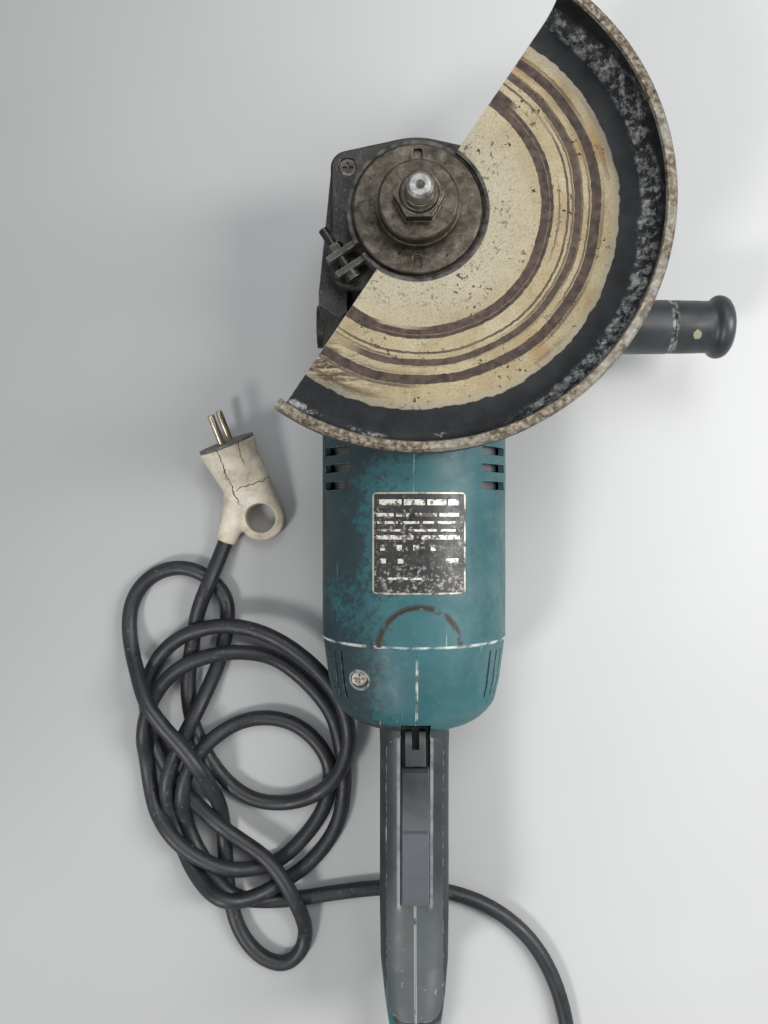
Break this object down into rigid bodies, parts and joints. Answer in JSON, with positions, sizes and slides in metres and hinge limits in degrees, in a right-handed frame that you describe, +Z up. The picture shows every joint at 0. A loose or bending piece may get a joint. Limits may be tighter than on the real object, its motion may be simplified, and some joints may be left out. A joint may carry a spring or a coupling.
{
  "type": "angle grinder",
  "caption": "Large angle grinder with a teal motor housing, worn guard, side handle, trigger rear handle and a loosely piled cord with its plug.",
  "frame": {"origin": "on the spindle axis, in the flat back face of the gear housing, which lies on the surface", "axes": "+Z up out of the spindle, +Y towards the nose of the gear head, +X towards the side handle"},
  "size_m": [0.3642, 0.714, 0.142],
  "materials": {
    "gear_casting": "satin, grimy",
    "oily_steel": "oily and worn",
    "machined_steel": "satin",
    "bronze": "satin",
    "copper": "satin",
    "laminations": "satin",
    "carbon": "matte",
    "teal_plastic": "satin, scratched",
    "grip_rubber": "matte",
    "dark_plastic": "satin",
    "plate_label": "printed, scratched",
    "guard_paint": "worn through to rust",
    "cord_rubber": "satin",
    "plug_rubber": "aged, cracked",
    "plug_face_plastic": "matte",
    "pin_metal": "polished"
  },
  "bodies": {
    "root": {"gear_housing": "gear_casting", "housing_screws": "machined_steel", "bearing_box": "gear_casting", "bearing_box_screws": "machined_steel", "bearing_retainer": "oily_steel", "spindle_bearing_outer": "machined_steel", "spindle_bush": "bronze", "front_bearing_outer": "machined_steel", "rear_bearing_outer": "machined_steel", "stator_core": "laminations", "stator_windings": "copper", "brush_holders": "bronze", "carbon_brushes": "carbon", "motor_housing": "teal_plastic", "fan_baffle": "dark_plastic", "name_plate": "plate_label", "side_handle_stud": "machined_steel", "side_handle_grip": "dark_plastic", "side_handle_cap": "dark_plastic", "handle_left": "teal_plastic", "handle_right": "teal_plastic", "grip_inlay_left": "grip_rubber", "grip_inlay_right": "grip_rubber", "handle_screws": "machined_steel", "cap_screw": "machined_steel", "trigger_pivot": "machined_steel", "switch_body": "dark_plastic", "cord_clamp": "dark_plastic", "strain_relief": "cord_rubber", "cord_to_coil": "cord_rubber", "cord_coil": "cord_rubber", "cord_to_plug": "cord_rubber", "plug_body": "plug_rubber", "plug_face": "plug_face_plastic", "plug_pins": "pin_metal", "trigger_spring": "machined_steel", "lock_spring": "machined_steel"},
    "armature": {"pinion": "machined_steel", "pinion_nut": "machined_steel", "armature_shaft": "machined_steel", "front_bearing_inner": "machined_steel", "rear_bearing_inner": "machined_steel", "fan": "dark_plastic", "armature_core": "laminations", "armature_windings": "copper", "commutator": "copper"},
    "spindle_group": {"spindle": "oily_steel", "spindle_bearing_inner": "machined_steel", "inner_flange": "oily_steel", "lock_nut": "oily_steel", "bevel_gear": "machined_steel"},
    "guard_group": {"guard": "guard_paint", "guard_clamp_screw": "machined_steel", "guard_clamp_nut": "machined_steel"},
    "lock_button_body": {"lock_button": "dark_plastic"},
    "trigger": {"trigger_lever": "dark_plastic"},
    "lock_off": {"lock_off_slider": "dark_plastic"},
    "plunger": {"switch_plunger": "dark_plastic"}
  },
  "joints": [
    {"name": "armature_spin", "type": "hinge", "parent": "root", "child": "armature", "pos_m": [0, -0.1, 0.052], "axis": [0, 1, 0], "continuous": true},
    {"name": "spindle_spin", "type": "hinge", "parent": "root", "child": "spindle_group", "pos_m": [0, 0, 0.1], "axis": [0, 0, 1], "continuous": true},
    {"name": "guard_swivel", "type": "hinge", "parent": "root", "child": "guard_group", "pos_m": [0, 0, 0.1], "axis": [0, 0, 1], "range_deg": [-100, 10]},
    {"name": "lock_press", "type": "slide", "parent": "root", "child": "lock_button_body", "axis": [0, 0, 1], "range_m": [0, 0.006], "stiffness_N_per_m": 600, "springref_m": -0.004, "deforming": ["lock_spring"]},
    {"name": "trigger_press", "type": "hinge", "parent": "root", "child": "trigger", "pos_m": [0, -0.361, 0.068], "axis": [-1, 0, 0], "range_deg": [0, 5], "stiffness_Nm_per_rad": 0.5, "springref_deg": -8.59, "deforming": ["trigger_spring"]},
    {"name": "lock_off_slide", "type": "slide", "parent": "trigger", "child": "lock_off", "axis": [0, 1, 0], "range_m": [0, 0.003], "stiffness_N_per_m": 200, "springref_m": -0.002},
    {"name": "plunger_press", "type": "slide", "parent": "root", "child": "plunger", "axis": [0, 0, -1], "range_m": [0, 0.0055]}
  ],
  "couplings": [
    {"joint": "spindle_spin", "follows": "armature_spin", "ratio": 0.33333},
    {"joint": "plunger_press", "follows": "trigger_press", "m_per_rad": 0.056}
  ]
}
